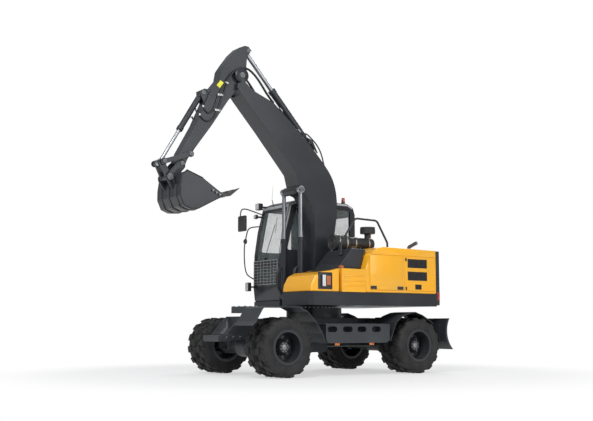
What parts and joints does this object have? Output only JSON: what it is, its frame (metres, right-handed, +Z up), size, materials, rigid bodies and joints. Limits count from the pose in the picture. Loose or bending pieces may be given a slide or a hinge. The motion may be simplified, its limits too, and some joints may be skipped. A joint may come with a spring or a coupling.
{
  "type": "wheeled excavator",
  "caption": "Wheeled excavator with a gooseneck boom raised high, a bucket curled at its stick, dual tyres, a cab beside the boom and a dozer blade at the back.",
  "frame": {"origin": "on the ground under the slewing axis", "axes": "+X to the machine's front, +Y to its open side away from the cab, +Z up"},
  "size_m": [4.957, 2.3, 5.25],
  "materials": {
    "black_plastic": "moulded black plastic",
    "cab_glass": "lightly tinted safety glass",
    "cast_iron": "oily cast iron",
    "chrome_rod": "polished hard chrome",
    "dark_paint": "satin charcoal paint",
    "seat_fabric": "woven seat cloth",
    "tyre_rubber": "dusty black tyre rubber",
    "yellow_paint": "semi-gloss amber-yellow paint"
  },
  "bodies": {
    "chassis": {"chassis_frame": "dark_paint", "front_axle": "dark_paint", "rear_axle": "dark_paint", "driveline": "cast_iron", "side_steps": "dark_paint", "mudguards": "dark_paint"},
    "steering_knuckle_left": {"knuckle_left": "dark_paint"},
    "steering_knuckle_right": {"knuckle_right": "dark_paint"},
    "wheel_front_left": {"rims_front_left": "dark_paint", "tyres_front_left": "tyre_rubber"},
    "wheel_front_right": {"rims_front_right": "dark_paint", "tyres_front_right": "tyre_rubber"},
    "wheel_rear_left": {"rims_rear_left": "dark_paint", "tyres_rear_left": "tyre_rubber"},
    "wheel_rear_right": {"rims_rear_right": "dark_paint", "tyres_rear_right": "tyre_rubber"},
    "dozer_blade": {"blade": "dark_paint"},
    "dozer_lower_links": {"blade_lower_links": "dark_paint"},
    "dozer_upper_links": {"blade_upper_links": "dark_paint"},
    "dozer_barrel": {"blade_barrel": "dark_paint"},
    "dozer_rod": {"blade_rod": "chrome_rod"},
    "upper": {"deck_frame": "dark_paint", "counterweight": "dark_paint", "hood_shell": "yellow_paint", "engine_block": "cast_iron", "nose_box": "yellow_paint", "tank_box": "yellow_paint", "boom_cover": "dark_paint", "air_cleaner": "black_plastic", "exhaust": "cast_iron", "handrail": "dark_paint", "cab_frame": "dark_paint", "cab_glass": "cab_glass", "cab_seat": "seat_fabric", "cab_controls": "black_plastic"},
    "lid": {"hood_lid": "yellow_paint"},
    "service_door": {"side_door": "yellow_paint"},
    "radiator_door": {"grille_door": "yellow_paint"},
    "driver_door": {"cab_door": "dark_paint", "door_glass": "cab_glass"},
    "boom_body": {"boom": "dark_paint"},
    "boom_cylinder_tubes": {"boom_barrels": "dark_paint"},
    "boom_cylinder_rods": {"boom_rods": "chrome_rod"},
    "stick_body": {"stick": "dark_paint"},
    "arm_cylinder_tube": {"arm_barrel": "dark_paint"},
    "arm_cylinder_rod": {"arm_rod": "chrome_rod"},
    "rocker": {"rocker_arms": "dark_paint"},
    "link": {"bucket_link": "dark_paint"},
    "bucket_cylinder_tube": {"bucket_barrel": "dark_paint"},
    "bucket_cylinder_rod": {"bucket_rod": "chrome_rod"},
    "bucket_body": {"bucket": "dark_paint"}
  },
  "joints": [
    {"name": "swing", "type": "hinge", "parent": "chassis", "child": "upper", "pos_m": [0, 0, 1], "axis": [0, 0, 1], "continuous": true},
    {"name": "steer_left", "type": "hinge", "parent": "chassis", "child": "steering_knuckle_left", "pos_m": [1.288, 0.545, 0.451], "axis": [0, 0, 1], "range_deg": [-22, 22]},
    {"name": "steer_right", "type": "hinge", "parent": "chassis", "child": "steering_knuckle_right", "pos_m": [1.288, -0.545, 0.451], "axis": [0, 0, 1], "range_deg": [-22, 22]},
    {"name": "wheel_front_left_spin", "type": "hinge", "parent": "steering_knuckle_left", "child": "wheel_front_left", "pos_m": [1.288, 0.9, 0.451], "axis": [0, 1, 0], "continuous": true},
    {"name": "wheel_front_right_spin", "type": "hinge", "parent": "steering_knuckle_right", "child": "wheel_front_right", "pos_m": [1.288, -0.9, 0.451], "axis": [0, 1, 0], "continuous": true},
    {"name": "wheel_rear_left_spin", "type": "hinge", "parent": "chassis", "child": "wheel_rear_left", "pos_m": [-1.288, 0.9, 0.451], "axis": [0, 1, 0], "continuous": true},
    {"name": "wheel_rear_right_spin", "type": "hinge", "parent": "chassis", "child": "wheel_rear_right", "pos_m": [-1.288, -0.9, 0.451], "axis": [0, 1, 0], "continuous": true},
    {"name": "blade_lift", "type": "hinge", "parent": "chassis", "child": "dozer_lower_links", "pos_m": [-1.53954, 0, 0.38145], "axis": [0, -1, 0], "range_deg": [0, 85]},
    {"name": "blade_upper_follow", "type": "hinge", "parent": "chassis", "child": "dozer_upper_links", "pos_m": [-1.53954, 0, 0.62145], "axis": [0, -1, 0], "range_deg": [-0.1, 85.1]},
    {"name": "blade_level", "type": "hinge", "parent": "dozer_lower_links", "child": "dozer_blade", "pos_m": [-1.8, 0, 0.6], "axis": [0, -1, 0], "range_deg": [-85.1, 0.1]},
    {"name": "blade_barrel_follow", "type": "hinge", "parent": "chassis", "child": "dozer_barrel", "pos_m": [-1.385, 0, 0.872], "axis": [0, -1, 0], "range_deg": [0, 28.38]},
    {"name": "blade_rod_follow", "type": "slide", "parent": "dozer_barrel", "child": "dozer_rod", "axis": [-0.8364, 0, -0.5482], "range_m": [-0.0001, 0.33482]},
    {"name": "lid_open", "type": "hinge", "parent": "upper", "child": "lid", "pos_m": [-1.066, 0.14, 2.047], "axis": [0, 1, 0], "range_deg": [0, 60]},
    {"name": "service_door_open", "type": "hinge", "parent": "upper", "child": "service_door", "pos_m": [-0.306, 1.104, 1.615], "axis": [0, 0, -1], "range_deg": [0, 100]},
    {"name": "radiator_door_open", "type": "hinge", "parent": "upper", "child": "radiator_door", "pos_m": [-1.684, 1.104, 1.615], "axis": [0, 0, 1], "range_deg": [0, 100]},
    {"name": "driver_door_open", "type": "hinge", "parent": "upper", "child": "driver_door", "pos_m": [-0.374, -1.15, 2], "axis": [0, 0, -1], "range_deg": [0, 100]},
    {"name": "boom_lift", "type": "hinge", "parent": "upper", "child": "boom_body", "pos_m": [0.015, 0, 1.48], "axis": [0, 1, 0], "range_deg": [-3, 85]},
    {"name": "boom_barrel_follow", "type": "hinge", "parent": "upper", "child": "boom_cylinder_tubes", "pos_m": [0.44, 0, 1.23], "axis": [0, 1, 0], "range_deg": [-3.09, 87.52]},
    {"name": "boom_rod_follow", "type": "slide", "parent": "boom_cylinder_tubes", "child": "boom_cylinder_rods", "axis": [-0.0017, 0, 1], "range_m": [-0.67376, 0.02388]},
    {"name": "stick_swing", "type": "hinge", "parent": "boom_body", "child": "stick_body", "pos_m": [1.525, 0, 4.735], "axis": [0, -1, 0], "range_deg": [-15, 88]},
    {"name": "arm_barrel_follow", "type": "hinge", "parent": "boom_body", "child": "arm_cylinder_tube", "pos_m": [0.13, 0, 3.82], "axis": [0, -1, 0], "range_deg": [-4.64, 0.79]},
    {"name": "arm_rod_follow", "type": "slide", "parent": "arm_cylinder_tube", "child": "arm_cylinder_rod", "axis": [0.6723, 0, 0.7403], "range_m": [-0.68079, 0.11613]},
    {"name": "bucket_curl", "type": "hinge", "parent": "stick_body", "child": "bucket_body", "pos_m": [2.56, 0, 3.215], "axis": [0, -1, 0], "range_deg": [-8, 120]},
    {"name": "rocker_follow", "type": "hinge", "parent": "stick_body", "child": "rocker", "pos_m": [2.425, 0, 3.37], "axis": [0, -1, 0], "range_deg": [-5.19, 77.9]},
    {"name": "link_follow", "type": "hinge", "parent": "rocker", "child": "link", "pos_m": [2.87, 0, 3.215], "axis": [0, -1, 0], "range_deg": [-48.16, 3.21]},
    {"name": "bucket_barrel_follow", "type": "hinge", "parent": "stick_body", "child": "bucket_cylinder_tube", "pos_m": [2.168, 0, 4.379], "axis": [0, -1, 0], "range_deg": [-0.8, 12.01]},
    {"name": "bucket_rod_follow", "type": "slide", "parent": "bucket_cylinder_tube", "child": "bucket_cylinder_rod", "axis": [0.5164, 0, -0.8563], "range_m": [-0.55418, 0.03704]}
  ],
  "couplings": [
    {"joint": "steer_right", "follows": "steer_left", "ratio": 1},
    {"joint": "blade_upper_follow", "follows": "blade_lift", "ratio": 1},
    {"joint": "blade_level", "follows": "blade_lift", "ratio": -1},
    {"joint": "blade_barrel_follow", "follows": "blade_lift", "ratio": 0.33382},
    {"joint": "blade_rod_follow", "follows": "blade_lift", "m_per_rad": 0.22558},
    {"joint": "boom_barrel_follow", "follows": "boom_lift", "ratio": 1.0294},
    {"joint": "boom_rod_follow", "follows": "boom_lift", "m_per_rad": -0.454},
    {"joint": "arm_barrel_follow", "follows": "stick_swing", "ratio": -0.0527},
    {"joint": "arm_rod_follow", "follows": "stick_swing", "m_per_rad": -0.4431},
    {"joint": "rocker_follow", "follows": "bucket_curl", "ratio": 0.649},
    {"joint": "link_follow", "follows": "bucket_curl", "ratio": -0.40125},
    {"joint": "bucket_barrel_follow", "follows": "bucket_curl", "ratio": 0.1001},
    {"joint": "bucket_rod_follow", "follows": "bucket_curl", "m_per_rad": -0.2645}
  ]
}
